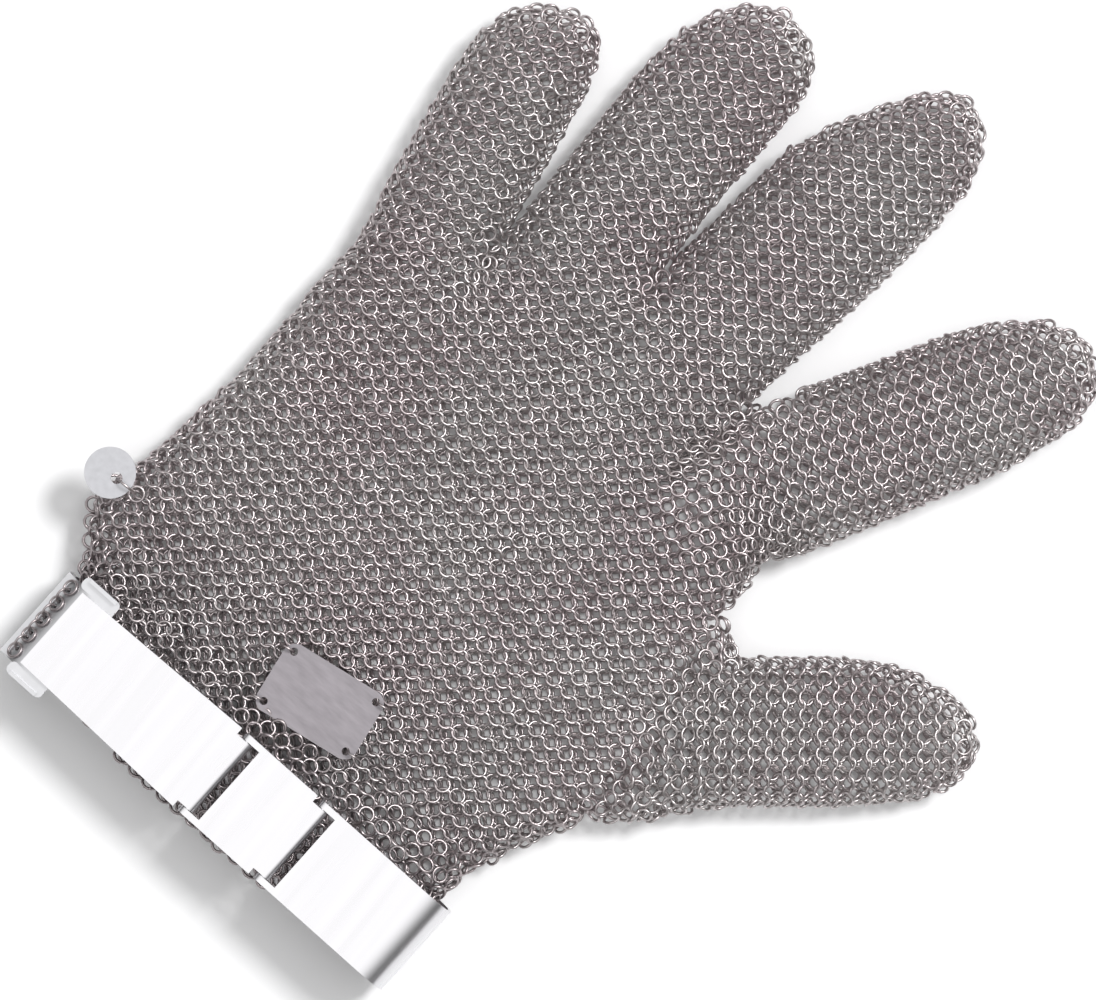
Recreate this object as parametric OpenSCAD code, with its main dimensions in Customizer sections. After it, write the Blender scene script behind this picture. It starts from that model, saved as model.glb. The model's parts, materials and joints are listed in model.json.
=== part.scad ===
// Steel ring-mesh safety glove with a hinged steel wrist closure.
// Millimetres. The glove lies flat with its palm up: +X runs across the hand towards the thumb,
// +Y from the cuff towards the fingertips, +Z up. The origin is on the resting surface, under the
// middle of the cuff, where the mesh leaves the wrist band.
// The ring mesh is drawn as a thin hollow skin, split where the hand inside it bends.

/* [Mesh skin] */
// Thickness of the glove lying flat
hand_h = 15; // [14:0.5:16]
// Thickness of the ring mesh
skin = 1.2; // [1:0.1:1.5]
// Radius of the round cheeks at each finger joint
cheek_r = 6; // [5.5:0.25:6.25]
// Running gap at each fold of the mesh
fold_gap = 0.4; // [0.3:0.05:0.5]

/* [Little finger] */
// Knuckle across the hand
little_x = -42.5; // [-43:0.25:-42]
// Knuckle along the hand
little_y = 118; // [117:0.5:119]
// Width of the little finger
little_w = 27; // [24:0.5:27.5]
// Knuckle to fingertip
little_len = 51; // [46:1:60]
// How far it leans towards the thumb
little_lean = -9.5; // [-11:0.5:-8]

/* [Ring finger] */
// Knuckle across the hand
ring_x = -12.5; // [-13:0.25:-12.25]
// Knuckle along the hand
ring_y = 129; // [128:0.5:130]
// Width of the ring finger
ring_w = 30; // [27:0.5:30]
// Knuckle to fingertip
ring_len = 69; // [64:1:76]
// How far it leans towards the thumb
ring_lean = -1; // [-2:0.5:1]

/* [Middle finger] */
// Knuckle across the hand
middle_x = 21.5; // [21.25:0.25:22]
// Knuckle along the hand
middle_y = 135; // [134:0.5:136]
// Width of the middle finger
middle_w = 33; // [29:0.5:33]
// Knuckle to fingertip
middle_len = 74; // [68:1:80]
// How far it leans towards the thumb
middle_lean = 6.5; // [5:0.5:7]

/* [Index finger] */
// Knuckle across the hand
index_x = 56; // [55.75:0.25:57]
// Knuckle along the hand
index_y = 123; // [122:0.5:123]
// Width of the index finger
index_w = 30.5; // [27:0.5:30.5]
// Knuckle to fingertip
index_len = 67; // [62:1:74]
// How far it leans towards the thumb
index_lean = 29.5; // [27:0.5:31]

/* [Thumb] */
// Thumb joint across the hand
thumb_x = 81.5; // [81:0.25:82]
// Thumb joint along the hand
thumb_y = 69; // [68:0.5:70]
// Width of the thumb
thumb_w = 31.5; // [28:0.5:32]
// Thumb joint to tip
thumb_len = 53; // [48:1:58]
// How far it leans out from the hand
thumb_lean = 51.5; // [50:0.5:53]

/* [Wrist band] */
// Outside width of the band's loop
band_loop = 112.4; // [111:0.2:114]
// Outside height of the band's loop
band_h = 22; // [21.6:0.1:24]
// Width of the steel strip
band_w = 23; // [21:0.5:25]
// Thickness of the steel strip
steel = 0.9; // [0.7:0.1:1]
// Corner radius of the loop
band_r = 8; // [6:0.5:9]
// How far the band lies turned from square to the hand
band_skew = 2.4; // [0:0.1:3]
// Length of the hinged link, hinge to hinge
link_len = 22.4; // [20:0.2:24]
// Hinge of the closing plate, measured from the loop's middle
clasp_hinge = -2.6; // [-4:0.2:0]
// Length of the closing plate from its hinge
clasp_len = 49; // [47:0.5:50]
// Radius of the hinge bars
bar_r = 0.8; // [0.6:0.05:0.9]

/* [Label plate and disc] */
// Length of the label plate
label_l = 25.5; // [22:0.5:27]
// Width of the label plate
label_w = 17; // [14:0.5:18]
// Turn of the label plate
label_turn = 7.8; // [0:0.2:10]
// Diameter of the size disc
disc_d = 11.5; // [10:0.5:13]

/* [Hidden] */
$fn = 48;
mid = hand_h / 2;
big = 200;
// Room left at the ends of the round cheeks
cheek_gap = 0.2;

// Each finger: knuckle x, knuckle y, lean, lean of its knuckle fold, width, length
little = [little_x, little_y, little_lean, -5, little_w, little_len];
ring = [ring_x, ring_y, ring_lean, 0, ring_w, ring_len];
middle = [middle_x, middle_y, middle_lean, 3, middle_w, middle_len];
index = [index_x, index_y, index_lean, 15, index_w, index_len];
thumb = [thumb_x, thumb_y, thumb_lean, thumb_lean, thumb_w, thumb_len];
FINGERS = [little, ring, middle, index];

// Shares of a finger's length taken by its first two bones
first_share = 0.4;
second_share = 0.32;
thumb_share = 0.54;

// The fold that lets the thumb cross the palm, from the web down to the heel of the hand
web = [61, 88];
heel = [67.5, 33];
thumb_fold = atan2(heel[0] - web[0], web[1] - heel[1]);
thumb_fold_len = norm(web - heel);

// The wrist fold, at the edge of the band, and how far the hand's skin stands clear of it
wrist_y = 2.5;
wrist_z = 8;
wrist_cheek = 6.5;
wrist_cut = 4.4;
wrist_h = 13.6;
// The cuff's tube inside the band, and the part of it that reaches the fold
cuff_z0 = 1.4;
cuff_h = 16.8;
cuff_left = -52.8;
cuff_w = 107.8;
cuff_r = 6.5;

// Wrist band: its own frame is turned by the skew, u across and v along the hand
band_u = 1.2;
band_v = -22.7;
barrel_r = 1.6;
bar_play = 0.08;
rail_w = 1.5;
side_play = 0.2;
slot_w = 2;
neck = 2.8;
plate_start = barrel_r + slot_w;
clasp_u = band_u + clasp_hinge;
link_u = clasp_u + link_len;
hinge_z = band_h - barrel_r - 0.1;
barrel_l = band_w - 2 * (rail_w + side_play);
// How far down from its top the loop is cut away under the link and the closing plate
band_cut = 9.2;

// Anchor plate at the free end of the band
anchor_u = -42;
anchor_top = band_h - steel - 0.3;
anchor_foot = 4;
ear = 3;
ear_h = 1.4;
ear_len = 10;
ear_lap = 0.6;
ear_r = 1.2;
clasp_end_u = clasp_u - clasp_len;
ring_count = 5;
ring_pitch = 4.6;
ring_slope = 40;

// Rings: middle radius and wire radius
ring_mean = 1.72;
wire = 0.275;

label_at = [5.3, 15.7];
label_z = hand_h + 0.5;
label_t = 0.8;
label_hole = 0.9;
label_inset = 2.1;
label_r = 3;
disc_at = [-62.7, 25.4];
disc_t = 1;
disc_z = hand_h + 1.5;
disc_hole_r = 1.3;
disc_hole = 1.9;
disc_ring_r = 2.4;

// ---- shared shapes ----

// A flat-sided oval, w wide and h high
module oval(w, h) {
    square([w - h, h], center = true);
    for (side = [-1, 1]) translate([side * (w - h) / 2, 0]) circle(h / 2);
}

// A rectangle from the origin with rounded corners
module rounded(w, h, r) {
    translate([r, 0]) square([w - 2 * r, h]);
    translate([0, r]) square([w, h - 2 * r]);
    for (x = [r, w - r], y = [r, h - r]) translate([x, y]) circle(r);
}

// A cylinder along X, centred
module rod_x(r, l) rotate([0, 90, 0]) cylinder(r = r, h = l, center = true);

// A cylinder along Y, starting at the origin
module rod_y(r, l) rotate([-90, 0, 0]) cylinder(r = r, h = l);

// A closed wire ring lying flat
module wire_ring(mean, r) rotate_extrude() translate([mean, 0]) circle(r, $fn = 24);

// ---- ring mesh of the fingers ----

// An oval bar along Y
module oval_bar(w, h, from, to) {
    translate([0, to, 0]) rotate([90, 0, 0]) linear_extrude(to - from) oval(w, h);
}

// What a moving piece keeps of its near end: everything past its fold, and round cheeks on the fold.
// l is the length of the fold.
module past_fold(l, turn = 0) rotate([0, 0, turn]) {
    rod_x(cheek_r, l);
    translate([-big / 2, 0, -big / 2]) cube([big, big, big]);
}

// What the piece before a fold gives up: room for the cheeks, and for the palm side to close.
// l is the length of the fold.
module fold_room(l) {
    rod_x(cheek_r + fold_gap, l);
    translate([-l / 2, -mid - fold_gap, 0]) cube([l, big, big]);
    translate([-l / 2, -fold_gap, -big]) cube([l, big, big + 1]);
}

// A finger's frame at its knuckle, with +Y along the finger
module at_finger(f, along = 0) {
    translate([f[0], f[1], mid]) rotate([0, 0, -f[2]]) translate([0, along, 0]) children();
}

// One open length of finger, from its own fold to the next one
module finger_piece(f, from, to, turn = 0) {
    reach = f[4] / 2;
    at_finger(f, from) difference() {
        intersection() {
            oval_bar(f[4], hand_h, -reach, to - from);
            past_fold(f[4] / cos(turn) - 2 * cheek_gap, turn);
        }
        oval_bar(f[4] - 2 * skin, hand_h - 2 * skin, -reach - 1, to - from + 1);
        translate([0, to - from, 0]) fold_room(big);
    }
}

// The plan of a fingertip, with rounded corners, shrunk all round by inset
module tip_plan(w, l, inset) {
    r = 0.38 * w;
    translate([-w / 2 + inset, -w]) rounded(w - 2 * inset, l + w - inset, r - inset);
}

// The closed end of a finger
module finger_tip(f, from) {
    l = f[5] - from;
    at_finger(f, from) difference() {
        intersection() {
            oval_bar(f[4], hand_h, -mid, l + 1);
            past_fold(f[4] - 2 * cheek_gap);
            translate([0, 0, -mid]) linear_extrude(hand_h) tip_plan(f[4], l, 0);
        }
        intersection() {
            oval_bar(f[4] - 2 * skin, hand_h - 2 * skin, -mid - 1, l + 1);
            translate([0, 0, -mid]) linear_extrude(hand_h) tip_plan(f[4], l, skin);
        }
    }
}

module first(f) {
    color("darkgray") finger_piece(f, 0, f[5] * first_share, f[2] - f[3]);
}
module second(f) {
    color("darkgray") finger_piece(f, f[5] * first_share, f[5] * (first_share + second_share));
}
module tip(f) {
    color("darkgray") finger_tip(f, f[5] * (first_share + second_share));
}

// ---- ring mesh of the hand ----

// Where a finger's knuckle fold ends, on its little-finger side (-1) or thumb side (1)
function fold_end(f, side) =
    [f[0], f[1]] + side * f[4] / 2 / cos(f[2] - f[3]) * [cos(f[3]), -sin(f[3])];

// Plan of the hand, clockwise from the little-finger side of the wrist
hand_plan = [
    [-53.5, wrist_y + wrist_cut], [-61, 17], [-60.5, 25], [-57.5, 37], [-54.5, 58], [-53.5, 80],
    [-54.5, 100],
    fold_end(little, -1), fold_end(little, 1),
    fold_end(ring, -1), fold_end(ring, 1),
    fold_end(middle, -1), fold_end(middle, 1),
    fold_end(index, -1), fold_end(index, 1),
    [66.5, 107], [64, 97], web, heel, [60, 20], [54.5, wrist_y + wrist_cut]];

// Its edges that are open: the four knuckles, the thumb's fold and the wrist
hand_mouths = [7, 9, 11, 13, 17, 20];

// Plan of the thumb's base, clockwise. It runs back past its fold, where its cheeks are cut from it.
thumb_back = (cheek_r + 1) * [-cos(thumb_fold), -sin(thumb_fold)];
thumb_plan = [
    web + thumb_back, web + 0.1 * thumb_back, fold_end(thumb, -1), fold_end(thumb, 1),
    [83.5, 49], [76.5, 39.5], heel + 0.1 * thumb_back, heel + thumb_back];
thumb_mouths = [2, 7];

// Unit normal of a clockwise plan's edge n, towards the inside
function inwards(plan, n) =
    let (a = plan[n % len(plan)], b = plan[(n + 1) % len(plan)])
    [b[1] - a[1], a[0] - b[0]] / norm(b - a);

// How far edge n of a hollow stands in from its plan: the skin, or past the outside at a mouth
function edge_inset(n, mouths) = len(search(n, mouths)) > 0 ? -1 : skin;

// The plan of the hollow inside a skin, corner by corner
function hollow_plan(plan, mouths) = [
    for (i = [0 : len(plan) - 1])
        let (
            last = (i + len(plan) - 1) % len(plan),
            n = inwards(plan, last),
            m = inwards(plan, i),
            a = edge_inset(last, mouths),
            b = edge_inset(i, mouths)
        )
        plan[i] + [a * m[1] - b * n[1], b * n[0] - a * m[0]] / cross(n, m)
];

// A flat hollow skin with the given plan, open at its mouths
module flat_skin(plan, mouths) difference() {
    linear_extrude(hand_h) polygon(plan);
    translate([0, 0, skin]) linear_extrude(hand_h - 2 * skin) polygon(hollow_plan(plan, mouths));
}

// Room in a flat skin for a finger's knuckle fold
module knuckle_room(f) {
    translate([f[0], f[1], mid]) rotate([0, 0, -f[3]]) fold_room(f[4] / cos(f[2] - f[3]) + cheek_gap);
}

// The thumb fold's frame: +Y points out of the palm, X along the fold
module at_thumb_fold() {
    at = (web + heel) / 2;
    translate([at[0], at[1], mid]) rotate([0, 0, thumb_fold - 90]) children();
}

// The slit in the little-finger side of the cuff that lets the closure open
module slit() translate([-70, -40, mid - 0.5]) cube([18, 64, 1.5]);

// The notch in the mesh that the disc's ring hangs through
module disc_notch() {
    translate([disc_at[0] + disc_hole - 1, disc_at[1] - 0.8, disc_z - disc_ring_r - 1])
        cube([2 * disc_ring_r + 2, 1.6, 4]);
}

module whole_hand() difference() {
    flat_skin(hand_plan, hand_mouths);
    for (f = FINGERS) knuckle_room(f);
    at_thumb_fold() fold_room(thumb_fold_len + 2);
    translate([0, wrist_y, wrist_z]) rod_x(wrist_cheek + fold_gap, big);
    slit();
    disc_notch();
    corner_rings(wire + 0.25);
}

module mail_palm() color("gray") intersection() {
    whole_hand();
    translate([-big / 2, 0, mid]) cube(big);
}

module mail_back() color("dimgray") intersection() {
    whole_hand();
    translate([-big / 2, 0, mid - big]) cube(big);
}

module thumb_base() color("darkgray") difference() {
    intersection() {
        flat_skin(thumb_plan, thumb_mouths);
        at_thumb_fold() past_fold(thumb_fold_len - 2 * cheek_gap);
    }
    knuckle_room(thumb);
}

module thumb_first() color("darkgray") finger_piece(thumb, 0, thumb_len * thumb_share);
module thumb_tip() color("darkgray") finger_tip(thumb, thumb_len * thumb_share);

// ---- cuff ----

module in_band() rotate([0, 0, -band_skew]) children();

// The cuff's tube inside the band; inset shrinks it, and grow lengthens it at both ends
module cuff_tube(inset, grow) across_band(band_v - 1 - grow, band_w + 1 + 2 * grow) {
    translate([cuff_left + inset, cuff_z0 + inset])
        rounded(cuff_w - 2 * inset, cuff_h - 2 * inset, cuff_r - inset);
}

// The lower tube that reaches the wrist fold
module wrist_tube(inset, grow) {
    translate([cuff_left + inset, wrist_y + wrist_cheek + grow, wrist_z - wrist_h / 2 + inset])
        rotate([90, 0, 0]) linear_extrude(wrist_y + wrist_cheek + 4 + 2 * grow)
            rounded(cuff_w - 1 - 2 * inset, wrist_h - 2 * inset, cuff_r - inset);
}

module mail_cuff() color("dimgray") difference() {
    union() {
        cuff_tube(0, 0);
        intersection() {
            wrist_tube(0, 0);
            translate([0, wrist_y, wrist_z]) {
                rod_x(wrist_cheek, big);
                translate([-big / 2, -big, -big / 2]) cube(big);
            }
        }
    }
    cuff_tube(skin, 1);
    wrist_tube(skin, 1);
    slit();
}

// ---- closure ----

// Extrudes a (u, z) profile along v, over the band's width
module across_band(v, w) {
    in_band() translate([0, v + w, 0]) rotate([90, 0, 0]) linear_extrude(w) children();
}

// The loop of the strip, seen along the hand; top is the height of its upper face
module loop_profile(left, top) difference() {
    w = band_u + band_loop / 2 - left;
    translate([left, 0]) rounded(w, top, band_r);
    translate([left + steel, steel]) rounded(w - 2 * steel, top - 2 * steel, band_r - steel);
}

// The slotted end of a strip: two ears that carry a hinge bar, and rails back to the strip
module slotted_end(u) {
    for (v = [band_v, band_v + band_w - rail_w]) {
        across_band(v, rail_w) {
            translate([u, hinge_z]) circle(barrel_r);
            translate([u, band_h - steel]) square([barrel_r + slot_w + 0.1, steel]);
        }
    }
    in_band() translate([u, band_v, hinge_z]) rod_y(bar_r, band_w);
}

// The rolled end of a strip, turning on a hinge bar at u, with the narrow neck that joins it
module rolled_end(u) {
    v = band_v + rail_w + side_play;
    difference() {
        across_band(v, barrel_l) {
            translate([u, hinge_z]) circle(barrel_r);
            translate([u - neck, band_h - steel]) square([neck, steel]);
        }
        in_band() translate([u, v - 1, hinge_z]) rod_y(bar_r + bar_play, barrel_l + 2);
    }
}

module wrist_band() color("white") {
    across_band(band_v, band_w) difference() {
        loop_profile(band_u - band_loop / 2, band_h);
        translate([-big, band_h - band_cut]) square([big + link_u + plate_start, big]);
    }
    slotted_end(link_u);
}

module anchor_profile() intersection() {
    loop_profile(band_u - band_loop / 2 - steel, anchor_top);
    translate([-big, anchor_foot]) square([big + anchor_u, big]);
    union() {
        translate([-big, anchor_foot]) square([big + band_u - band_loop / 2, big]);
        translate([-big, band_h - band_cut]) square([big + anchor_u, big]);
    }
}

module anchor_plate() color("gainsboro") difference() {
    union() {
        across_band(band_v, band_w) anchor_profile();
        anchor_ears();
    }
    for (n = [0 : ring_count - 2]) sewing_ring(n, wire + 0.25);
}

// The plate's ears, which stand up on both sides of the closing plate
module anchor_ears() in_band() {
    for (v = [band_v - ear + ear_lap, band_v + band_w - ear_lap]) {
        translate([anchor_u - ear_len, v, anchor_top - steel])
            linear_extrude(steel) rounded(ear_len, ear, ear_r);
    }
    for (v = [band_v - ear + ear_lap, band_v + band_w + ear - ear_lap - steel]) {
        translate([anchor_u - ear_len + ear_r, v, anchor_top - steel])
            cube([ear_len - 2 * ear_r, steel, steel + ear_h]);
    }
}

// A spot on the anchor plate's rounded corner, n ring pitches along it, with +Z straight out of it
module on_corner(n) in_band() {
    v = band_v + band_w / 2 + (n - (ring_count - 1) / 2) * ring_pitch;
    translate([band_u - band_loop / 2 - steel + band_r, v, anchor_top - band_r]) rotate([0, -ring_slope, 0])
        translate([0, 0, band_r + wire + 0.05]) children();
}

// A ring that stands on edge through the corner and holds two of the flat rings down
module sewing_ring(n, r) on_corner(n + 0.5) rotate([0, 90, 0]) wire_ring(ring_mean, r);

// A row of rings lying on the corner, sewn to it by rings that stand on edge
module anchor_rings() color("silver") {
    for (n = [0 : ring_count - 1]) on_corner(n) wire_ring(ring_mean, wire);
    for (n = [0 : ring_count - 2]) sewing_ring(n, wire);
}

module adjust_link() color("white") {
    across_band(band_v, band_w) translate([clasp_u + plate_start, band_h - steel])
        square([link_len - plate_start - neck, steel]);
    slotted_end(clasp_u);
    rolled_end(link_u);
}

module clasp_plate() color("whitesmoke") {
    narrow = 1.2;
    in_band() translate([0, 0, band_h - steel]) linear_extrude(steel) polygon([
        [clasp_end_u, band_v + narrow], [clasp_u - neck, band_v],
        [clasp_u - neck, band_v + band_w], [clasp_end_u, band_v + band_w - narrow]]);
    rolled_end(clasp_u);
}

// ---- label plate and disc ----

module at_label() translate([label_at[0], label_at[1], label_z]) rotate([0, 0, label_turn]) children();

// The four corner holes of the label plate
module label_corners() {
    for (x = [-1, 1], y = [-1, 1]) {
        translate([x * (label_l / 2 - label_inset), y * (label_w / 2 - label_inset)]) children();
    }
}

module label_plate() color("silver") at_label() difference() {
    linear_extrude(label_t) translate([-label_l / 2, -label_w / 2]) rounded(label_l, label_w, label_r);
    translate([0, 0, -1]) linear_extrude(label_t + 2) label_corners() circle(label_hole);
}

// A ring through each corner hole, standing on edge and reaching out past the plate's end
module corner_rings(r) at_label() for (x = [-1, 1], y = [-1, 1]) {
    translate([x * (label_l / 2 - label_inset + ring_mean), y * (label_w / 2 - label_inset), label_t / 2])
        rotate([90, 0, 0]) wire_ring(ring_mean, r);
}

module label_rings() color("gray") corner_rings(wire);

module size_disc() color("lightgray") translate([disc_at[0], disc_at[1], disc_z - disc_t / 2]) {
    difference() {
        cylinder(d = disc_d, h = disc_t);
        translate([disc_hole, 0, -1]) cylinder(r = disc_hole_r, h = disc_t + 2);
    }
}

module disc_ring() color("gray") {
    translate([disc_at[0] + disc_hole + disc_ring_r, disc_at[1], disc_z])
        rotate([90, 0, 0]) wire_ring(disc_ring_r, wire);
}

mail_palm();
mail_back();
mail_cuff();
first(little);  // little_first
second(little);  // little_second
tip(little);  // little_tip
first(ring);  // ring_first
second(ring);  // ring_second
tip(ring);  // ring_tip
first(middle);  // middle_first
second(middle);  // middle_second
tip(middle);  // middle_tip
first(index);  // index_first
second(index);  // index_second
tip(index);  // index_tip
thumb_base();
thumb_first();
thumb_tip();
wrist_band();
anchor_plate();
anchor_rings();
adjust_link();
clasp_plate();
label_plate();
label_rings();
size_disc();
disc_ring();
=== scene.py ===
"""Looks of the steel ring-mesh glove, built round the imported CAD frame. Lengths here are in millimetres."""

import json
import math
from functools import partial

import bpy
import numpy as np
from mathutils import Vector
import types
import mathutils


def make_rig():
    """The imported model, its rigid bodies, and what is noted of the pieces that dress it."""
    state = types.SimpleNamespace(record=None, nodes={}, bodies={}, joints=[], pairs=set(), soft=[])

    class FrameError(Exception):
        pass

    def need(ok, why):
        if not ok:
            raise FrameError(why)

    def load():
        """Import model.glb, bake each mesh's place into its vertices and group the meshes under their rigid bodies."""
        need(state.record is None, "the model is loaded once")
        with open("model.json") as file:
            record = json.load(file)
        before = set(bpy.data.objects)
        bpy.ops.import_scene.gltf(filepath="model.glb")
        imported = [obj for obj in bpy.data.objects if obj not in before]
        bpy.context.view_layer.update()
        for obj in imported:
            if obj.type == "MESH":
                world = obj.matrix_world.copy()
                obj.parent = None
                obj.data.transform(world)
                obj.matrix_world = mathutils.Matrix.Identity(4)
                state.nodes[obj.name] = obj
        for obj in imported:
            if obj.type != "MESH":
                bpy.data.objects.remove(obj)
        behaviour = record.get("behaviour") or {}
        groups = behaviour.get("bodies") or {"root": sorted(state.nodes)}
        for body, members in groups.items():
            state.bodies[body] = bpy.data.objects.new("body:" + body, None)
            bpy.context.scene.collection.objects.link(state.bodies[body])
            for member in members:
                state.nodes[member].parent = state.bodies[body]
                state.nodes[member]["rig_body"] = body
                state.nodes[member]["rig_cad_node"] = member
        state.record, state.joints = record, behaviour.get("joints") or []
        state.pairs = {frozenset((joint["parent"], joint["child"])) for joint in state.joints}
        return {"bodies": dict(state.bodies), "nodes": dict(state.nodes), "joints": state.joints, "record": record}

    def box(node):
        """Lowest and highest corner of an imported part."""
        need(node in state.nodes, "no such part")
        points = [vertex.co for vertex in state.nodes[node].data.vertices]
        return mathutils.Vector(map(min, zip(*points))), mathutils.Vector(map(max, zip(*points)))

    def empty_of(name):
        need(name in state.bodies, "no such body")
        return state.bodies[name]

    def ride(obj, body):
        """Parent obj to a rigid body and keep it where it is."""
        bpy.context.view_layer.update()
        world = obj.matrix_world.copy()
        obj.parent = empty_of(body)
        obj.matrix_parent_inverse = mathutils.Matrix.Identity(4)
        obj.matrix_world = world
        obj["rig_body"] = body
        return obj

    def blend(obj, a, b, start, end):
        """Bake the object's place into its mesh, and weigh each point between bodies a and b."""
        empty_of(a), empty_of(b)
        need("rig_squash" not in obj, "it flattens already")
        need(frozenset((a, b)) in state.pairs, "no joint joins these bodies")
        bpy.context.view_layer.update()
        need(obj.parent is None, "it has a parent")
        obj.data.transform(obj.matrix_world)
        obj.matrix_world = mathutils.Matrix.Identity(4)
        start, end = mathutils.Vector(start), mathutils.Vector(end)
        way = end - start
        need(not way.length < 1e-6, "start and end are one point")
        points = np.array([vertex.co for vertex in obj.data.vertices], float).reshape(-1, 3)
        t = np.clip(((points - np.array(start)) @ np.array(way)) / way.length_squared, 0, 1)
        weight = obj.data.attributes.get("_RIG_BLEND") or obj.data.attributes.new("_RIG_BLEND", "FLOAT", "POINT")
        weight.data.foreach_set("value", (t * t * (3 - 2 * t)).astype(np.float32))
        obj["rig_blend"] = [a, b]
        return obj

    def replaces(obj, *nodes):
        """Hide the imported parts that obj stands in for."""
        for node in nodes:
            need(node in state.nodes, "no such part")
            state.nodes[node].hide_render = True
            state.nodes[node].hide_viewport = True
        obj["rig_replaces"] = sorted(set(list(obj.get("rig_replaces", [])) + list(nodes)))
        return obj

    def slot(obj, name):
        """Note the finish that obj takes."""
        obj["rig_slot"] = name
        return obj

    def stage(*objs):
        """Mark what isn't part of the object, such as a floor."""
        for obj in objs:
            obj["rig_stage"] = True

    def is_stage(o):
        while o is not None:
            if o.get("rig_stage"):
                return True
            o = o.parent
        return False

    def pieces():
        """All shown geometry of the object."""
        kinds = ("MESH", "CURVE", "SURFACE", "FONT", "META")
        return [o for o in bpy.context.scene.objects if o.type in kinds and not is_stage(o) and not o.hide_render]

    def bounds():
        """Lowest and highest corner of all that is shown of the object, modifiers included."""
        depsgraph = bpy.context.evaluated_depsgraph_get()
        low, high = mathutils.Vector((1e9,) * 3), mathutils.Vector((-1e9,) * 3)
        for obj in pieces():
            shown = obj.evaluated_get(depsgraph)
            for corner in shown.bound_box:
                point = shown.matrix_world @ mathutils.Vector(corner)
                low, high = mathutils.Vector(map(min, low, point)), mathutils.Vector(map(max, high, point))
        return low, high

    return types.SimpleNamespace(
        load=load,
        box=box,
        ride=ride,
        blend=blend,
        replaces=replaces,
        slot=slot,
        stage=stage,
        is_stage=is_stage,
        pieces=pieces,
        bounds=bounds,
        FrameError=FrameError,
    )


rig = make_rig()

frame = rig.load()

MM = 0.001
JOINTS = {j["name"]: j for j in frame["joints"]}
rng = np.random.default_rng(7)

# The weave: rows run across the hand, and every second row is shifted by half a pitch and leans the other way
PITCH = 4.2
ROW = 1.87
RING_R = 1.7
WIRE_R = 0.36
LEAN = math.radians(26)
# How unevenly the rings lie: the spread of their tilt, their turn in the sheet, and their place
TILT_NOISE, TURN_NOISE, PLACE_NOISE = 0.10, 0.07, 0.09
# Sides of a ring's circle, and of its wire
ROUND, SIDES = 14, 5

# The sheets' middle height, half depth, and how far their rounded edges reach in
HAND_MID, HAND_HALF = 7.5, 6.0
CUFF_MID, CUFF_HALF = 9.6, 6.9
EDGE = 9.0
# Inside the strap the upper sheet hangs this much lower, clear of the closing plate
CUFF_SAG = 4.5

# Heights up the flat pattern, from the strap's edge. A pair is where one state goes over into the next
FIRST_ROW = -24.3
# The outline is the cuff's, set in a little, then the hand node's own, then that of the fingers' roots
CUFF_OUTLINE, HAND_OUTLINE, ROOT_OUTLINE = (-1, 8), (7.5, 98), (98, 116)
CUFF_INSET = 1.5
# The sag ends at the strap's edge, the cuff's depth turns into the hand's, and rows lose the strap's slant
SAG_END, DEPTH_CHANGE, STRAIGHT_ROWS = (-4, 2), (0, 14), (-1, 10)
# Above this every finger has a lattice of its own
SPLIT = 100.0
# The fingers fan out from the first distance below their knuckles to the second
FAN = (34, 2)
# Rows below this one are the hem, which shows past the strap's edge only along this part of the cuff
HEM_ROW = -21.6
HEM = (-24, 22)

# A ring of the thumb gives way to one of the hand that is nearer than the first of these distances, and
# a ring of the lower sheet to one of the upper that is nearer than the second
CROWDED_THUMB, CROWDED_EDGE = 2.0, 2.1
# How many rings or points are compared with all others at once
BATCH = 500

# Columns of the table of rings: place in plan, number of the row, on the thumb or not, direction of the row,
# height up the pattern and number of the finger
XY, ROW_NUMBER, ON_THUMB, TANGENT, UP_PATTERN, STRIP_NUMBER = slice(0, 2), 2, 3, slice(4, 6), 6, 7
# The columns added once the sheet is raised: the centre, the two directions that span the ring, and which
# sheet it is in, 1 for the upper and -1 for the lower
CENTRE, ACROSS, SPIN, SIDE = slice(8, 11), slice(11, 14), slice(14, 17), 17


def write_size(key):
    lo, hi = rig.bounds()
    sizes = {} if key == "cad" else json.load(open("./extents.json"))
    sizes[key] = {"lo": list(lo), "hi": list(hi)}
    with open("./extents.json", "w") as f:
        json.dump(sizes, f, indent=1)


write_size("cad")

# ---- what the frame says ----


def joint_at(name):
    """Where a joint's axis lies, in plan."""
    return np.array(JOINTS[name]["pos_m"][:2]) / MM


def joint_axis(name):
    """A level joint's direction, in plan."""
    a = np.array(JOINTS[name]["axis"][:2])
    return a / np.linalg.norm(a)


def node_points(name):
    """The corners of a node's mesh."""
    o = frame["nodes"][name]
    co = np.zeros(len(o.data.vertices) * 3)
    o.data.vertices.foreach_get("co", co)
    return co.reshape(-1, 3) / MM


# A face with no corner above this height is on a node's underside
UNDERSIDE = 0.01


def plan_edges(name):
    """The outline of a node's underside, as a list of edges in plan."""
    o = frame["nodes"][name]
    points = np.round(node_points(name), 3)
    uses = {}
    for p in o.data.polygons:
        corners = [tuple(points[v]) for v in p.vertices]
        if max(c[2] for c in corners) < UNDERSIDE:
            for a, b in zip(corners, corners[1:] + corners[:1]):
                key = (min(a, b), max(a, b))
                uses[key] = uses.get(key, 0) + 1
    once = [k for k, n in uses.items() if n == 1 and k[0] != k[1]]
    return np.array([[a[:2], b[:2]] for a, b in once])


def span(edges, t):
    """Where the line at height t crosses the edges: its lowest and highest place, or None."""
    a, b = edges[:, 0], edges[:, 1]
    hit = (a[:, 1] <= t) != (b[:, 1] <= t)
    if not hit.any():
        return None
    a, b = a[hit], b[hit]
    x = a[:, 0] + (b[:, 0] - a[:, 0]) * (t - a[:, 1]) / (b[:, 1] - a[:, 1])
    return x.min(), x.max()


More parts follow.
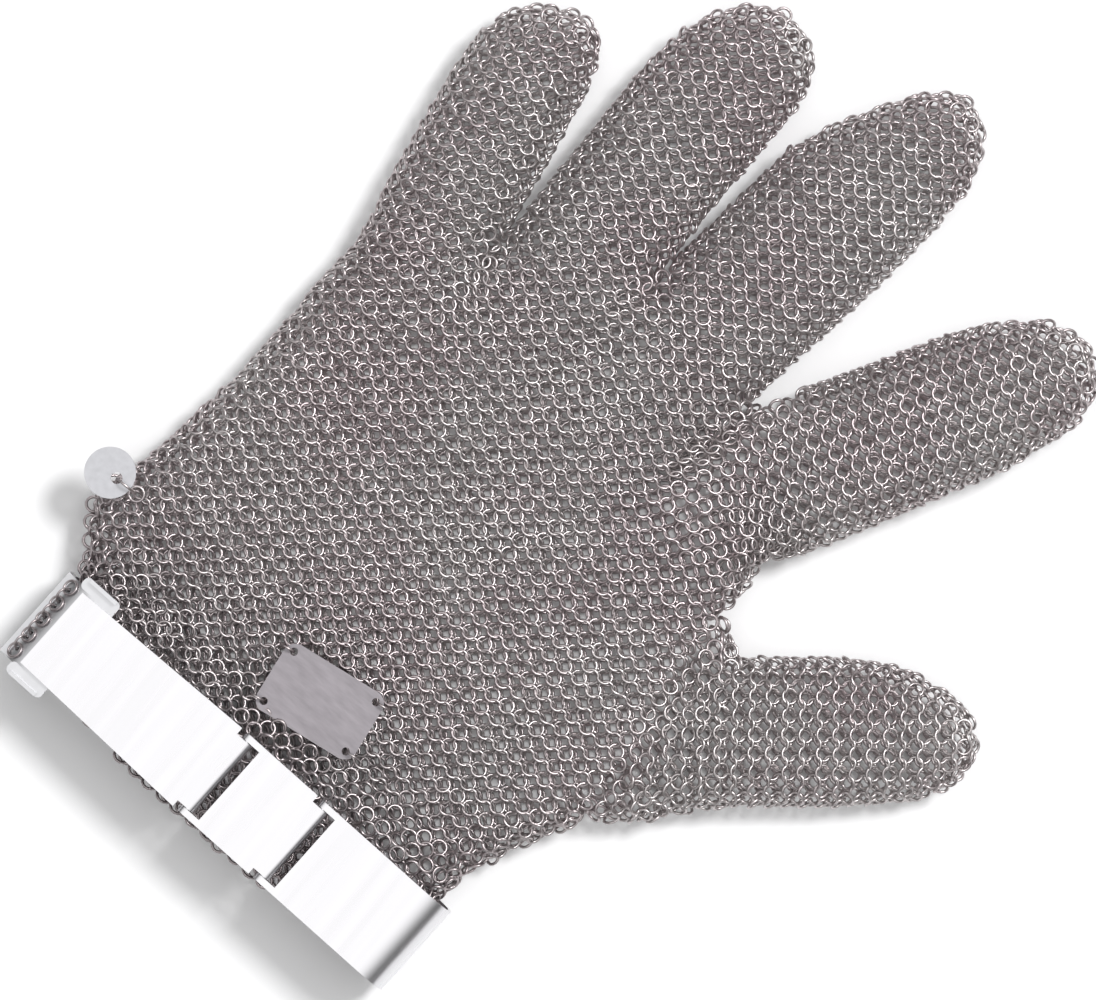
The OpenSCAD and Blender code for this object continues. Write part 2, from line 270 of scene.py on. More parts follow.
# Each finger's outline: share of its length, then its left and right reach as shares of half its width
SHAPES = {
    "little": [(0, 1.02, 1.01), (0.5, 1.02, 1.02), (0.75, 0.93, 0.99), (0.85, 0.76, 0.93),
               (0.93, 0.5, 0.85), (0.97, 0.25, 0.72), (1.0, -0.05, 0.55), (1.02, -0.22, 0.3)],
    "ring": [(0, 1.03, 1.03), (0.25, 1.02, 1.02), (0.6, 0.99, 1.06), (0.78, 0.86, 1.1),
             (0.88, 0.66, 1.02), (0.94, 0.45, 0.88), (0.985, 0.2, 0.66), (1.015, -0.1, 0.3)],
    "middle": [(0, 1.07, 0.95), (0.38, 1.07, 1.02), (0.55, 1.06, 1.02), (0.71, 0.84, 1.0),
               (0.85, 0.56, 0.9), (0.95, 0.32, 0.7), (1.0, 0.1, 0.45), (1.02, -0.1, 0.2)],
    "index": [(-0.06, 1.3, 1.09), (0, 1.2, 1.08), (0.15, 1.1, 1.05), (0.3, 1.085, 1.02),
              (0.61, 1.09, 1.0), (0.8, 0.95, 0.85), (0.93, 0.74, 0.69), (1.0, 0.5, 0.4),
              (1.03, 0.15, 0.1)],
    "thumb": [(0, 1.01, 1.0), (0.37, 1.06, 0.99), (0.59, 1.0, 0.94), (0.74, 0.83, 0.87),
              (0.85, 0.62, 0.74), (0.93, 0.42, 0.57), (0.97, 0.22, 0.35), (0.99, 0.0, 0.12)],
}


class Finger:
    """A finger's place, direction, width and length, read from its joints and nodes."""

    def __init__(self, name, first_bend, sleeve):
        self.name = name
        self.at = joint_at(f"{name}_knuckle")
        self.bend = joint_at(first_bend)
        # d points along the finger and n to its right
        self.d = (self.bend - self.at) / np.linalg.norm(self.bend - self.at)
        self.n = np.array([self.d[1], -self.d[0]])
        across = (node_points(sleeve)[:, :2] - self.at) @ self.n
        self.half = np.ptp(across) / 2
        self.length = ((node_points(f"{name}_tip")[:, :2] - self.at) @ self.d).max()
        # out points past the knuckle's fold, square to it
        axis = joint_axis(f"{name}_knuckle")
        self.out = np.array([-axis[1], axis[0]])
        self.shape = np.array(SHAPES[name])
        self.end = self.length * self.shape[-1, 0]

    def reach(self, along):
        """How far the outline reaches to the left and right, at a distance along the finger."""
        share = along / self.length
        left = np.interp(share, self.shape[:, 0], self.shape[:, 1])
        right = np.interp(share, self.shape[:, 0], self.shape[:, 2])
        return -left * self.half, right * self.half


FINGERS = [Finger(n, f"{n}_mid_bend", f"{n}_second") for n in ("little", "ring", "middle", "index")]
THUMB = Finger("thumb", "thumb_tip_bend", "thumb_first")
little, ring, middle, index = FINGERS

# Between neighbours: where their strips of mesh meet, and how far up the hand the crotch is
BORDERS = [(a.at[0] + a.half + b.at[0] - b.half) / 2 for a, b in zip(FINGERS[:-1], FINGERS[1:])]
CROTCHES = [little.at[1] + 2, middle.at[1] + 2, (middle.at[1] + index.at[1]) / 2 + 1]

hand_edges = plan_edges("mail_back")
cuff_lo, cuff_hi = (np.array(c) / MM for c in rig.box("mail_cuff"))
wrist_y = joint_at("wrist_flex")[1]
# The strap lies at a slant: its edge drops by this much per millimetre towards the thumb
skew = joint_axis("link_swing")[0]

# The thumb's fold runs across the palm from the web to the heel of the thumb
fold_at, fold_axis = joint_at("thumb_fold"), joint_axis("thumb_fold")
fold_out = np.array([-fold_axis[1], fold_axis[0]])
base_edges = plan_edges("thumb_base")
corners = base_edges.reshape(-1, 2)
on_fold = corners[np.abs((corners - fold_at) @ fold_out) < 0.6]
web = on_fold[on_fold[:, 1].argmax()]
heel = on_fold[on_fold[:, 1].argmin()]


def smooth(x, a, b):
    """0 before a, 1 after b, and smooth in between."""
    k = np.clip((x - a) / (b - a), 0, 1)
    return k * k * (3 - 2 * k)


# ---- the flat pattern of the hand and four fingers, and how it lies ----


def hand_ends(t):
    """Left and right end of the hand's pattern at height t."""
    left, right = span(hand_edges, np.clip(t, *HAND_OUTLINE))
    k = smooth(t, *CUFF_OUTLINE)
    left = left * k + (cuff_lo[0] + CUFF_INSET) * (1 - k)
    right = right * k + (cuff_hi[0] - CUFF_INSET) * (1 - k)
    k = smooth(t, *ROOT_OUTLINE)
    left = left * (1 - k) + (little.at[0] + little.reach(0)[0]) * k
    right = right * (1 - k) + (index.at[0] + index.reach(0)[1]) * k
    return left, right


def strip_ends(number, t):
    """Ends of one finger's strip at height t, and whether each is a free edge."""
    f = FINGERS[number]
    left, right = f.at[0] + np.array(f.reach(t - f.at[1]))
    hand_left, hand_right = hand_ends(t)
    free_left = free_right = True
    if number > 0 and t < CROTCHES[number - 1]:
        left, free_left = BORDERS[number - 1], False
    if number < 3 and t < CROTCHES[number]:
        right, free_right = BORDERS[number], False
    if number == 0 and t < f.at[1]:
        left = hand_left
    if number == 3 and t < f.at[1]:
        right = hand_right
    return left, right, free_left, free_right


def lie(s, t, strip):
    """Where points of the flat pattern lie on the table, given the strip that each belongs to."""
    s, t, strip = (np.atleast_1d(np.asarray(v, float)) for v in (s, t, strip))
    # how far each point belongs past each border; neighbours mix over a width that grows below the crotch
    past = []
    for number, (border, crotch) in enumerate(zip(BORDERS, CROTCHES)):
        soft = np.clip((crotch - t) * 0.35, 0.05, 14)
        share = smooth(s, border - soft, border + soft)
        past.append(np.where(t >= crotch, (strip > number).astype(float), share))
    weights = [1 - past[0], past[0] * (1 - past[1]), past[1] * (1 - past[2]), past[2]]
    flat = np.stack([s, t], 1)
    out = np.zeros_like(flat)
    total = sum(weights)
    for f, w in zip(FINGERS, weights):
        turned = f.at + (s - f.at[0])[:, None] * f.n + (t - f.at[1])[:, None] * f.d
        k = smooth(t, f.at[1] - FAN[0], f.at[1] - FAN[1])[:, None]
        out += (w / total)[:, None] * (flat * (1 - k) + turned * k)
    out[:, 1] -= s * skew * (1 - smooth(t, *STRAIGHT_ROWS))
    return out


def thumb_lie(s, t):
    """Where points of the thumb's flat pattern lie on the table."""
    s, t = np.atleast_1d(s), np.atleast_1d(t)
    return THUMB.at + s[:, None] * THUMB.n + t[:, None] * THUMB.d


thumb_edges = np.stack([(base_edges - THUMB.at) @ THUMB.n, (base_edges - THUMB.at) @ THUMB.d], 2)


def near_fold(p):
    """Whether a place in plan is on the thumb's fold, where the pattern goes on into the palm."""
    return abs((p - fold_at) @ fold_out) < 0.9


def thumb_ends(t):
    """Ends of the thumb's pattern at a distance along it, and whether each is a free edge."""
    if t >= 0:
        return *THUMB.reach(t), True, True
    inside = span(thumb_edges, min(t, -0.6))
    if inside is None:
        return None
    left, right = inside
    ends = thumb_lie([left, right], [t, t])
    return left, right, not near_fold(ends[0]), not near_fold(ends[1])


# ---- the outline of the lying glove ----

# The thumb's base doesn't reach further back along the thumb than this
THUMB_ROOT = -42
outline = []


def add_outline(points, inside_left):
    """Adds a run of outline; inside_left says which side of its direction the glove is on."""
    for a, b in zip(points[:-1], points[1:]):
        d = b - a
        if np.linalg.norm(d) > 1e-6:
            inwards = np.array([-d[1], d[0]]) * (1 if inside_left else -1)
            outline.append((a, b, inwards / np.linalg.norm(inwards)))


def split_runs(flags):
    """Index ranges in which the flags hold."""
    runs, start = [], None
    for i, flag in enumerate(list(flags) + [False]):
        if flag and start is None:
            start = i
        if not flag and start is not None:
            runs.append((start, i))
            start = None
    return runs


# the hand and cuff, up both sides
steps = np.arange(-26, SPLIT + 0.5, 1.0)
sides = np.array([hand_ends(t) for t in steps])
add_outline(lie(sides[:, 0], steps, np.zeros(len(steps))), False)
open_side = (steps < heel[1]) | (steps > web[1])
for a, b in split_runs(open_side):
    add_outline(lie(sides[a:b, 1], steps[a:b], np.full(b - a, 3)), True)
# each finger, up both sides and across its tip
for number, f in enumerate(FINGERS):
    steps = np.append(np.arange(SPLIT, f.at[1] + f.end, 0.5), f.at[1] + f.end)
    rows = [strip_ends(number, t) for t in steps]
    for side, inside_left in ((0, False), (1, True)):
        for a, b in split_runs([r[2 + side] for r in rows]):
            s = np.array([r[side] for r in rows[a:b]])
            add_outline(lie(s, steps[a:b], np.full(b - a, number)), inside_left)
    add_outline(lie(rows[-1][:2], [steps[-1]] * 2, [number] * 2), False)
# the thumb
steps = np.append(np.arange(THUMB_ROOT + 2, THUMB.end, 0.5), THUMB.end)
steps = np.array([t for t in steps if thumb_ends(t) is not None])
rows = [thumb_ends(t) for t in steps]
for side, inside_left in ((0, False), (1, True)):
    for a, b in split_runs([r[2 + side] for r in rows]):
        s = np.array([r[side] for r in rows[a:b]])
        add_outline(thumb_lie(s, steps[a:b]), inside_left)
add_outline(thumb_lie(rows[-1][:2], [steps[-1]] * 2), False)
OUT_A, OUT_B, OUT_IN = (np.array(part) for part in zip(*outline))


def to_outline(p):
    """Distance from each point to the outline, and the direction away from it."""
    dist, away = np.zeros(len(p)), np.zeros((len(p), 2))
    d = OUT_B - OUT_A
    for at in range(0, len(p), BATCH):
        q = p[at : at + BATCH]
        k = ((q[:, None] - OUT_A) * d).sum(2) / (d * d).sum(1)
        gap = q[:, None] - (OUT_A + np.clip(k, 0, 1)[..., None] * d)
        far = np.linalg.norm(gap, axis=2)
        near = far.argmin(1)
        every = np.arange(len(q))
        dist[at : at + BATCH] = far[every, near]
        straight = gap[every, near] / np.maximum(far[every, near], 1e-9)[:, None]
        inside = (straight * OUT_IN[near]).sum(1) > 0
        use = ((far[every, near] > 0.5) & inside)[:, None]
        away[at : at + BATCH] = np.where(use, straight, OUT_IN[near])
    return dist, away


# The rounded edge is a quarter of an ellipse; this table turns length along it into its angle
arc_angle = np.linspace(0, math.pi / 2, 200)
arc_step = np.hypot(np.diff(EDGE * np.sin(arc_angle)), np.diff(HAND_HALF * np.cos(arc_angle)))
arc_length = np.append(0, np.cumsum(arc_step))


# The upper and lower sheet share the edge, so each stops short of the end of its quarter
ARC_USED = 0.93


def round_edge(over, reach):
    """How far in plan a length over a rounded edge of the given reach gets, or None past the edge's end."""
    scale = reach / EDGE
    if over / scale > arc_length[-1] * ARC_USED:
        return None
    return reach * math.sin(np.interp(over / scale, arc_length, arc_angle))


def place(q, left, right, free_left, free_right):
    """Plan position of a ring q along its row, or None if it falls off the row."""
    reach = min(EDGE, (right - left) * 0.48)
    if free_right and q > right - reach:
        over = round_edge(q - (right - reach), reach)
        return None if over is None else right - reach + over
    if free_left and q < left + reach:
        over = round_edge(left + reach - q, reach)
        return None if over is None else left + reach - over
    if not left <= q < right:
        return None
    return q


# A row is made longer than its ends by this, because place() folds what is over them round the edge
ROW_SPARE = 14


def lattice(ends, start, stop, strip, shift):
    """Rings of one pattern, as a list of (s, t, strip, row). With no stop it ends where the fingers split."""
    out = []
    number = math.ceil(start / ROW)
    while True:
        t = number * ROW
        if stop is not None and t > stop - EDGE:
            over = round_edge(t - (stop - EDGE), EDGE)
            if over is None:
                break
            t = stop - EDGE + over
        row = ends(t)
        if row is not None:
            left, right, free_left, free_right = row
            offset = PITCH / 2 * (number % 2) + shift
            first = math.floor((left - ROW_SPARE - offset) / PITCH)
            last = math.ceil((right + ROW_SPARE - offset) / PITCH)
            for k in range(first, last + 1):
                s = place(k * PITCH + offset, left, right, free_left, free_right)
                if s is not None:
                    out.append((s, t, strip, number))
        number += 1
        if stop is None and number * ROW >= SPLIT:
            break
    return out


def palm_row(t):
    """Ends of the palm's row at height t, and whether each is a free edge."""
    if t < HEM_ROW:
        return *HEM, False, False
    return *hand_ends(t), True, t < heel[1] or t > web[1]


def sheet(shift):
    """All rings of one sheet, with the first eight columns of the table."""
    flat = lattice(palm_row, FIRST_ROW, None, -1, shift)
    for number, f in enumerate(FINGERS):
        flat += lattice(partial(strip_ends, number), SPLIT, f.at[1] + f.end, number, shift)
    s, t, strip, row = np.array(flat).T
    strip = np.where(strip < 0, np.searchsorted(BORDERS, s), strip)
    here = lie(s, t, strip)
    tangent = lie(s + 0.2, t, strip) - lie(s - 0.2, t, strip)
    hand = np.column_stack([here, row, np.zeros(len(s)), tangent, t, strip])
    s, t, strip, row = np.array(lattice(thumb_ends, THUMB_ROOT, THUMB.end, 4, shift)).T
    here = thumb_lie(s, t)
    tangent = np.tile(THUMB.n, (len(s), 1))
    thumb = np.column_stack([here, row, np.ones(len(s)), tangent, t, strip])
    gap = np.linalg.norm(here[:, None] - hand[None, :, XY], axis=2).min(1)
    return np.vstack([hand, thumb[gap > CROWDED_THUMB]])


def raise_sheet(rings, side):
    """Heights and normals of the rings of the upper (1) or lower (-1) sheet."""
    p = rings[:, XY]
    dist, away = to_outline(p)
    above_strap = p[:, 1] + p[:, 0] * skew
    k = np.where(rings[:, ON_THUMB] > 0, 1, smooth(above_strap, *DEPTH_CHANGE))
    mid = CUFF_MID + (HAND_MID - CUFF_MID) * k
    half = CUFF_HALF + (HAND_HALF - CUFF_HALF) * k
    u = 1 - np.clip(dist / EDGE, 0, 1)
    rise = np.sqrt(np.maximum(1 - u * u, 0.0004))
    z = mid + side * half * rise
    if side > 0:
        z -= CUFF_SAG * (1 - smooth(above_strap, *SAG_END)) * rise
    normal = np.column_stack([-away * (half * u / EDGE)[:, None], side * rise])
    normal /= np.linalg.norm(normal, axis=1, keepdims=True)
    return z, normal


def turn(v, axis, angle):
    """Turns each row of v about the same row of axis."""
    c, s = np.cos(angle)[:, None], np.sin(angle)[:, None]
    along = (v * axis).sum(1, keepdims=True)
    return v * c + np.cross(axis, v) * s + axis * along * (1 - c)


def frames(rings, side):
    """Each ring's centre and the two directions that span it."""
    z, normal = raise_sheet(rings, side)
    count = len(rings)
    centre = np.column_stack([rings[:, XY], z])
    across = np.column_stack([rings[:, TANGENT], np.zeros(count)])
    across -= normal * (across * normal).sum(1, keepdims=True)
    across /= np.linalg.norm(across, axis=1, keepdims=True)
    up = np.cross(normal, across)
    lean = np.where(rings[:, ROW_NUMBER] % 2 > 0.5, LEAN, -LEAN)
    # the mesh gathers towards the strap and over the heel of the thumb, so its rings lie less evenly there
    on_heel = (rings[:, ON_THUMB] > 0) * (rings[:, UP_PATTERN] < -2)
    loose = 1 + 1.3 * (1 - smooth(centre[:, 1], 2, 26)) + 1.2 * on_heel
    spin = turn(up, across, lean + rng.normal(0, TILT_NOISE, count) * loose)
    across = turn(across, normal, rng.normal(0, TURN_NOISE, count) * loose)
    spin -= across * (across * spin).sum(1, keepdims=True)
    spin /= np.linalg.norm(spin, axis=1, keepdims=True)
    centre += rng.normal(0, PLACE_NOISE, (count, 3)) * loose[:, None]
    # a ring that would dip under the table is lifted onto it
    low = centre[:, 2] - RING_R * np.hypot(across[:, 2], spin[:, 2]) - WIRE_R
    centre[:, 2] += np.maximum(0.05 - low, 0)
    return centre, across, spin


# ---- materials ----

# The first colour tints random reddish patches; the second is painted shade, the darker tone the wire takes towards
# the cuff in place of shade there
RUSTY, PAINTED_WRIST_SHADE = (0.49, 0.43, 0.437), (0.33, 0.295, 0.3)


def set_range(node, source, target):
    """Sets what a Map Range node reads and what it gives."""
    for end, value in zip(("From Min", "From Max", "To Min", "To Max"), (*source, *target)):
        node.inputs[end].default_value = value


def steel(name, colour, spread, rough, scale, bump=0, stretch=(1, 1, 1)):
    """Bare steel whose tone and polish vary with noise, which is drawn out along an axis of small stretch."""
    m = bpy.data.materials.new(name)
    m.use_nodes = True
    nodes, links = m.node_tree.nodes, m.node_tree.links
    bsdf = nodes["Principled BSDF"]
    bsdf.inputs["Metallic"].default_value = 1
    where, mapping = nodes.new("ShaderNodeTexCoord"), nodes.new("ShaderNodeMapping")
    mapping.inputs["Scale"].default_value = stretch
    noise = nodes.new("ShaderNodeTexNoise")
    noise.inputs["Scale"].default_value = scale
    noise.inputs["Detail"].default_value = 3
    links.new(where.outputs["Object"], mapping.inputs["Vector"])
    links.new(mapping.outputs["Vector"], noise.inputs["Vector"])
    tone = nodes.new("ShaderNodeMix")
    tone.data_type = "RGBA"
    tone.inputs["A"].default_value = (*[c * (1 - spread) for c in colour], 1)
    tone.inputs["B"].default_value = (*[min(c * (1 + spread), 1) for c in colour], 1)
    links.new(noise.outputs["Fac"], tone.inputs["Factor"])
    links.new(tone.outputs["Result"], bsdf.inputs["Base Color"])
    polish = nodes.new("ShaderNodeMapRange")
    set_range(polish, (0, 1), rough)
    links.new(noise.outputs["Fac"], polish.inputs["Value"])
    links.new(polish.outputs["Result"], bsdf.inputs["Roughness"])
    if bump:
        relief = nodes.new("ShaderNodeBump")
        relief.inputs["Strength"].default_value = bump
        relief.inputs["Distance"].default_value = 0.0001
        links.new(noise.outputs["Fac"], relief.inputs["Height"])
        links.new(relief.outputs["Normal"], bsdf.inputs["Normal"])
    return m


def stain_and_shade(m):
    """Gives a wire uneven reddish patches, and darkens it towards the cuff with painted shade."""
    nodes, links = m.node_tree.nodes, m.node_tree.links
    socket = nodes["Principled BSDF"].inputs["Base Color"]
    clean = socket.links[0].from_socket
    where, noise = nodes.new("ShaderNodeTexCoord"), nodes.new("ShaderNodeTexNoise")
    noise.inputs["Scale"].default_value = 35
    links.new(where.outputs["Object"], noise.inputs["Vector"])
    patches, split = nodes.new("ShaderNodeMapRange"), nodes.new("ShaderNodeSeparateXYZ")
    set_range(patches, (0.4, 0.62), (0, 1))
    links.new(noise.outputs["Fac"], patches.inputs["Value"])
    # painted shade: below the wrist the wire is darkened, standing in for shade there
    wrist_shade_factor = nodes.new("ShaderNodeMapRange")
    wrist_shade_factor.interpolation_type = "SMOOTHSTEP"
    set_range(wrist_shade_factor, (-0.01, 0.05), (0.7, 0))
    links.new(where.outputs["Object"], split.inputs["Vector"])
    links.new(split.outputs["Y"], wrist_shade_factor.inputs["Value"])
    for factor, colour in ((patches, RUSTY), (wrist_shade_factor, PAINTED_WRIST_SHADE)):
        mix = nodes.new("ShaderNodeMix")
        mix.data_type = "RGBA"
        links.new(factor.outputs["Result"], mix.inputs["Factor"])
        links.new(clean, mix.inputs["A"])
        mix.inputs["B"].default_value = (*colour, 1)
        clean = mix.outputs["Result"]
    links.new(clean, socket)


BRUSHED = (1, 0.04, 1)
WIRE = steel("mail_wire", (0.52, 0.485, 0.482), spread=0.18, rough=(0.26, 0.46), scale=260)
# random reddish patches on the wire, and painted shade towards the cuff
stain_and_shade(WIRE)
STRIP = steel("strip_steel", (0.76, 0.752, 0.77), 0.04, (0.22, 0.34), 400, bump=0.03, stretch=BRUSHED)
ANCHOR = steel("anchor_steel", (0.60, 0.60, 0.615), 0.06, (0.28, 0.40), 400, bump=0.03, stretch=BRUSHED)
LABEL = steel("label_steel", (0.29, 0.27, 0.287), 0.3, (0.44, 0.64), 700, bump=0.4, stretch=(0.3, 1, 1))
DISC = steel("disc_steel", (0.46, 0.46, 0.48), 0.14, (0.38, 0.54), 700, bump=0.12)


# ---- rings as meshes ----


def ring_mesh(name, rings):
    """One mesh of closed wire rings. rings is (centre, across, spin), each N by 3."""
    centre, across, spin = (np.asarray(v, float) for v in rings)
    count = len(centre)
    axis = np.cross(across, spin)
    a = np.arange(ROUND) * 2 * math.pi / ROUND
    b = np.arange(SIDES) * 2 * math.pi / SIDES
    outwards = across[:, None] * np.cos(a)[None, :, None] + spin[:, None] * np.sin(a)[None, :, None]
    rim = centre[:, None] + RING_R * outwards
    tube = outwards[:, :, None] * np.cos(b)[:, None] + axis[:, None, None] * np.sin(b)[:, None]
    verts = (rim[:, :, None] + WIRE_R * tube).reshape(-1, 3) * MM
    i, j = np.meshgrid(np.arange(ROUND), np.arange(SIDES), indexing="ij")
    i, j = i.ravel(), j.ravel()
    i2, j2 = (i + 1) % ROUND, (j + 1) % SIDES
    quad = np.stack([i * SIDES + j, i2 * SIDES + j, i2 * SIDES + j2, i * SIDES + j2], 1)
    faces = (quad[None] + (np.arange(count) * ROUND * SIDES)[:, None, None]).reshape(-1, 4)
    mesh = bpy.data.meshes.new(name)
    mesh.vertices.add(len(verts))
    mesh.vertices.foreach_set("co", verts.astype(np.float32).ravel())
    mesh.loops.add(faces.size)
    mesh.loops.foreach_set("vertex_index", faces.astype(np.int32).ravel())
    mesh.polygons.add(len(faces))
    mesh.polygons.foreach_set("loop_start", np.arange(0, faces.size, 4, dtype=np.int32))
    mesh.polygons.foreach_set("use_smooth", np.ones(len(faces), bool))
    # each ring has its own cell of the map
    cells = math.ceil(math.sqrt(count))
    u = np.stack([i, i + 1, i + 1, i], 1) / ROUND
    v = np.stack([j, j, j + 1, j + 1], 1) / SIDES
    corner = np.stack([u, v], 2) * 0.9 + 0.05
    cell = np.stack([np.arange(count) % cells, np.arange(count) // cells], 1)
    uv = (corner[None] + cell[:, None, None]) / cells
    mesh.uv_layers.new(name="OFBake").data.foreach_set("uv", uv.astype(np.float32).ravel())
    mesh.update()
    mesh.validate()
    mesh.materials.append(WIRE)
    o = bpy.data.objects.new(name, mesh)
    bpy.context.scene.collection.objects.link(o)
    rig.slot(o, "ring_mesh")
    return o


# A piece bends over this much to each side of a fold, and reaches back this far from it
BEND_HALF = 6.5
REACH = 8.0


def point(xy, z):
    """A place in plan and a height, in metres."""
    return (xy[0] * MM, xy[1] * MM, z * MM)


def soft_piece(name, rings, a, b, at, out, stands_for):
    """A piece of mesh that bends across a fold: at is on the fold and out points past it."""
    o = ring_mesh(name, rings)
    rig.blend(o, a, b, start=point(at - out * BEND_HALF, HAND_MID), end=point(at + out * BEND_HALF, HAND_MID))
    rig.replaces(o, stands_for)


# both sheets; where they meet at the edge, the lower one gives way
sheets = []
for side, shift in ((1, 0.0), (-1, PITCH / 4)):
    rings = sheet(shift)
    sheets.append(np.column_stack([rings, *frames(rings, side), np.full(len(rings), side)]))
upper, lower = sheets
nearest = []
for at in range(0, len(lower), BATCH):
    gap = np.linalg.norm(lower[at : at + BATCH, None, CENTRE] - upper[None, :, CENTRE], axis=2)
    nearest.append(gap.min(1))
every = np.vstack([upper, lower[np.concatenate(nearest) > CROWDED_EDGE]])

# a row of open rings along the edge of the cuff's slit, from the strap up to the disc
slit = np.arange(4.2, 27, 3.3)
slit_at = lie(np.array([hand_ends(t)[0] for t in slit]) - 0.4, slit, np.zeros(len(slit)))
tilt = np.where(np.arange(len(slit)) % 2, 0.3, -0.3)
slit_rings = [
    np.column_stack([slit_at, np.full(len(slit), HAND_MID)]),
    np.tile([1.0, 0, 0], (len(slit), 1)),
    np.column_stack([np.zeros(len(slit)), np.cos(tilt), np.sin(tilt)]),
]
# one more ring ties the disc's ring to the mesh
tie_lo, tie_hi = (np.array(c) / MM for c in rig.box("disc_ring"))
tie = [tie_hi[0] + 0.5, (tie_lo[1] + tie_hi[1]) / 2, (tie_lo[2] + tie_hi[2]) / 2 - 1.7]
slit_rings = [np.vstack(pair) for pair in zip(slit_rings, (tie, [1, 0, 0], [0, 1, 0]))]

left_over = np.ones(len(every), bool)


def claim(mask):
    """Takes the rings of a region that no piece has yet."""
    mine = mask & left_over
    left_over[mine] = False
    chosen = every[mine]
    return chosen[:, CENTRE], chosen[:, ACROSS], chosen[:, SPIN]


plan, on_thumb = every[:, XY], every[:, ON_THUMB] > 0

# cuff and wrist
level = plan[:, 1] + plan[:, 0] * skew
cuff = ring_mesh("mail_cuff_rings", claim(~on_thumb & (level < wrist_y - 3)))
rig.ride(cuff, "cuff")
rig.replaces(cuff, "mail_cuff")
wrist = ring_mesh("mail_wrist_rings", claim(~on_thumb & (level < wrist_y + 9)))
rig.blend(wrist, "cuff", "hand", start=point((0, wrist_y - 2), 8), end=point((0, wrist_y + 7), 8))

# thumb, from its tip back to the fold across the palm
along = (plan - THUMB.at) @ THUMB.d
tip_along = (THUMB.bend - THUMB.at) @ THUMB.d
soft_piece("mail_thumb_tip_rings", claim(on_thumb & (along > tip_along / 2)),
           "thumb_first", "thumb_tip", THUMB.bend, THUMB.d, "thumb_tip")
soft_piece("mail_thumb_knuckle_rings", claim(on_thumb & (along > -REACH)),
           "thumb_base", "thumb_first", THUMB.at, THUMB.out, "thumb_first")
past = (plan - fold_at) @ fold_out
beside = (plan[:, 1] > heel[1] - 1) & (plan[:, 1] < web[1] + 1)
soft_piece("mail_thumb_fold_rings", claim(on_thumb | ((past > -REACH) & beside)),
           "hand", "thumb_base", fold_at, fold_out, "thumb_base")

# fingers, from each tip back to its knuckle
for number, f in enumerate(FINGERS):
    mine = (every[:, STRIP_NUMBER] == number) & ~on_thumb
    tip_at = joint_at(f"{f.name}_tip_bend")
    along = (plan - f.at) @ f.d
    mid_along, tip_along = (f.bend - f.at) @ f.d, (tip_at - f.at) @ f.d
    past = (plan - f.at) @ f.out
    soft_piece(f"mail_{f.name}_tip_rings", claim(mine & (along > (mid_along + tip_along) / 2)),
               f"{f.name}_second", f"{f.name}_tip", tip_at, f.d, f"{f.name}_tip")
    soft_piece(f"mail_{f.name}_mid_rings", claim(mine & (along > mid_along / 2)),
               f"{f.name}_first", f"{f.name}_second", f.bend, f.d, f"{f.name}_second")
    soft_piece(f"mail_{f.name}_knuckle_rings", claim(mine & (past > -REACH)),
               "hand", f"{f.name}_first", f.at, f.out, f"{f.name}_first")

edge = ring_mesh("mail_slit_rings", slit_rings)
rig.ride(edge, "hand")
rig.replaces(edge, "mail_palm")

# what is left is the hand itself, in two halves
HALFWAY = 62
for name, side in (("mail_palm", 1), ("mail_back", -1)):
    for part, high in (("heel", HALFWAY), ("knuckles", math.inf)):
        half = ring_mesh(f"{name}_{part}_rings", claim((every[:, SIDE] == side) & (plan[:, 1] < high)))
        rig.ride(half, "hand")
        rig.replaces(half, name)

# ---- CAD nodes that show ----

LOOKS = {
    "wrist_band": (STRIP, "polished_strip"),
    "adjust_link": (STRIP, "polished_strip"),
    "clasp_plate": (STRIP, "polished_strip"),
    "anchor_plate": (ANCHOR, "polished_strip"),
    "anchor_rings": (WIRE, "mesh_wire"),
    "label_plate": (LABEL, "satin_label"),
    "label_rings": (WIRE, "mesh_wire"),
    "size_disc": (DISC, "disc_steel"),
    "disc_ring": (WIRE, "mesh_wire"),
}
for name, (material, slot) in LOOKS.items():
    o = frame["nodes"][name]
    o.data.materials.clear()
    o.data.materials.append(material)
    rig.slot(o, slot)

# ---- floor, light and camera ----

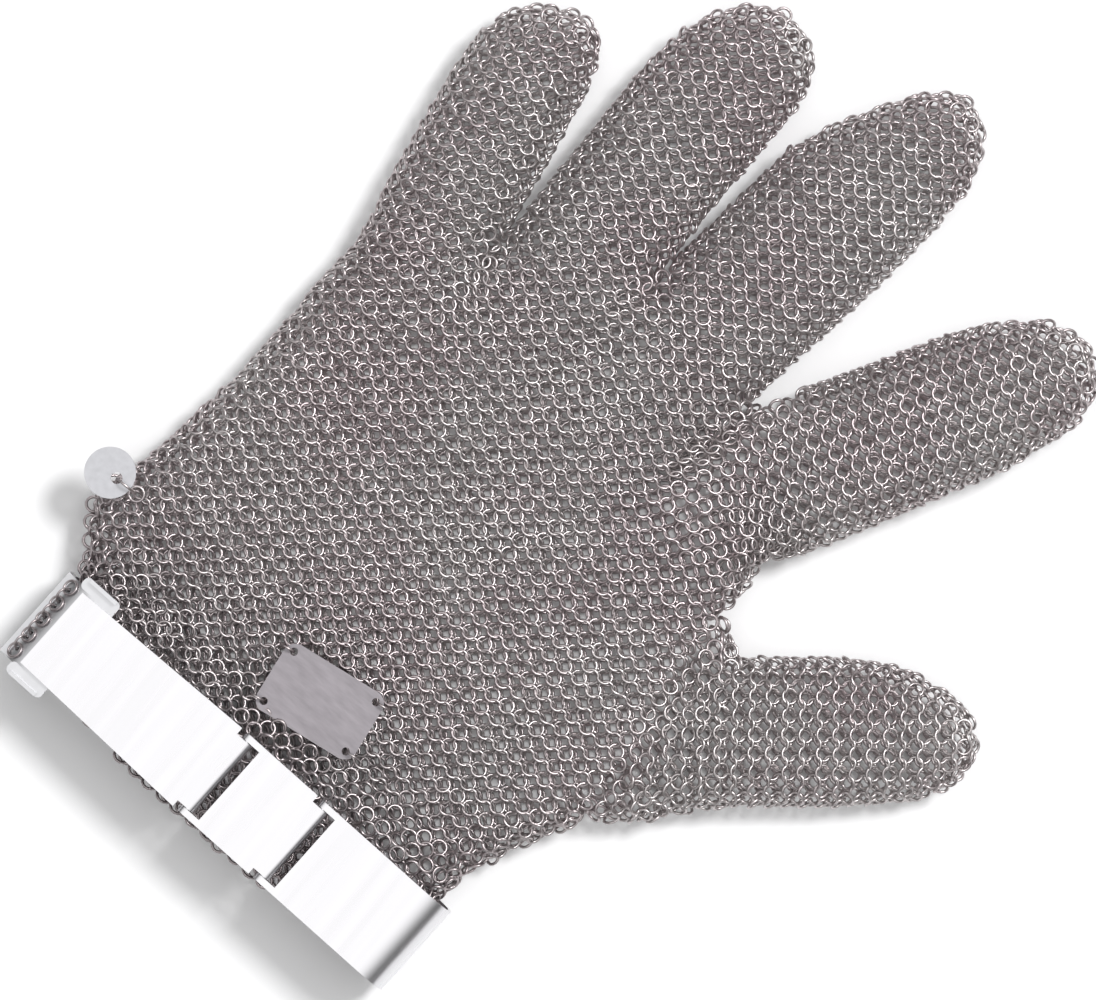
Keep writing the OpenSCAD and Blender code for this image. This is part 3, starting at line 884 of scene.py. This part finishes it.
mesh = bpy.data.meshes.new("floor")
mesh.from_pydata([(-3, -3, 0), (3, -3, 0), (3, 3, 0), (-3, 3, 0)], [], [(0, 1, 2, 3)])
floor = bpy.data.objects.new("floor", mesh)
bpy.context.scene.collection.objects.link(floor)
floor.location.z = -0.0001
paper = bpy.data.materials.new("floor_white")
paper.use_nodes = True
bsdf = paper.node_tree.nodes["Principled BSDF"]
bsdf.inputs["Base Color"].default_value = (0.86, 0.86, 0.865, 1)
bsdf.inputs["Roughness"].default_value = 0.9
bsdf.inputs["Specular IOR Level"].default_value = 0.1
mesh.materials.append(paper)
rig.stage(floor)

world = bpy.data.worlds.new("studio")
bpy.context.scene.world = world
world.use_nodes = True
nodes, links = world.node_tree.nodes, world.node_tree.links
background = nodes["Background"]
background.inputs["Color"].default_value = (1, 1, 1, 1)
# the room is bright overhead and dark towards the horizon, which gives the steel its dark flanks
sky, height = nodes.new("ShaderNodeTexCoord"), nodes.new("ShaderNodeSeparateXYZ")
fade = nodes.new("ShaderNodeMapRange")
fade.interpolation_type = "SMOOTHSTEP"
set_range(fade, (0.3, 1), (0.1, 1.25))
links.new(sky.outputs["Generated"], height.inputs["Vector"])
links.new(height.outputs["Z"], fade.inputs["Value"])
# the camera itself sees plain white
seen, choose = nodes.new("ShaderNodeLightPath"), nodes.new("ShaderNodeMix")
links.new(seen.outputs["Is Camera Ray"], choose.inputs["Factor"])
links.new(fade.outputs["Result"], choose.inputs["A"])
choose.inputs["B"].default_value = 1
links.new(choose.outputs["Result"], background.inputs["Strength"])

TO_SUN = Vector((0.3, 0.9, 1.3))
key = bpy.data.lights.new("key", "SUN")
key.energy = 2.3
key.angle = math.radians(16)
lamp = bpy.data.objects.new("key", key)
bpy.context.scene.collection.objects.link(lamp)
lamp.rotation_mode = "QUATERNION"
lamp.rotation_quaternion = TO_SUN.to_track_quat("Z", "Y")

# the camera looks straight down from far off and sees this width at the height of the mesh
VIEW_WIDTH, VIEW_CENTRE, VIEW_HEIGHT, VIEW_TURN = 243.6, (16.0, 82.2), 7, 39.4
camera = bpy.data.cameras.new("camera")
camera.lens = 300
camera.clip_end = 10
camera_object = bpy.data.objects.new("camera", camera)
bpy.context.scene.collection.objects.link(camera_object)
distance = VIEW_WIDTH / camera.sensor_width * camera.lens
camera_object.location = point(VIEW_CENTRE, distance + VIEW_HEIGHT)
camera_object.rotation_euler = (0, 0, math.radians(VIEW_TURN))
bpy.context.scene.camera = camera_object
bpy.context.scene.view_settings.view_transform = "Standard"

write_size("visual")
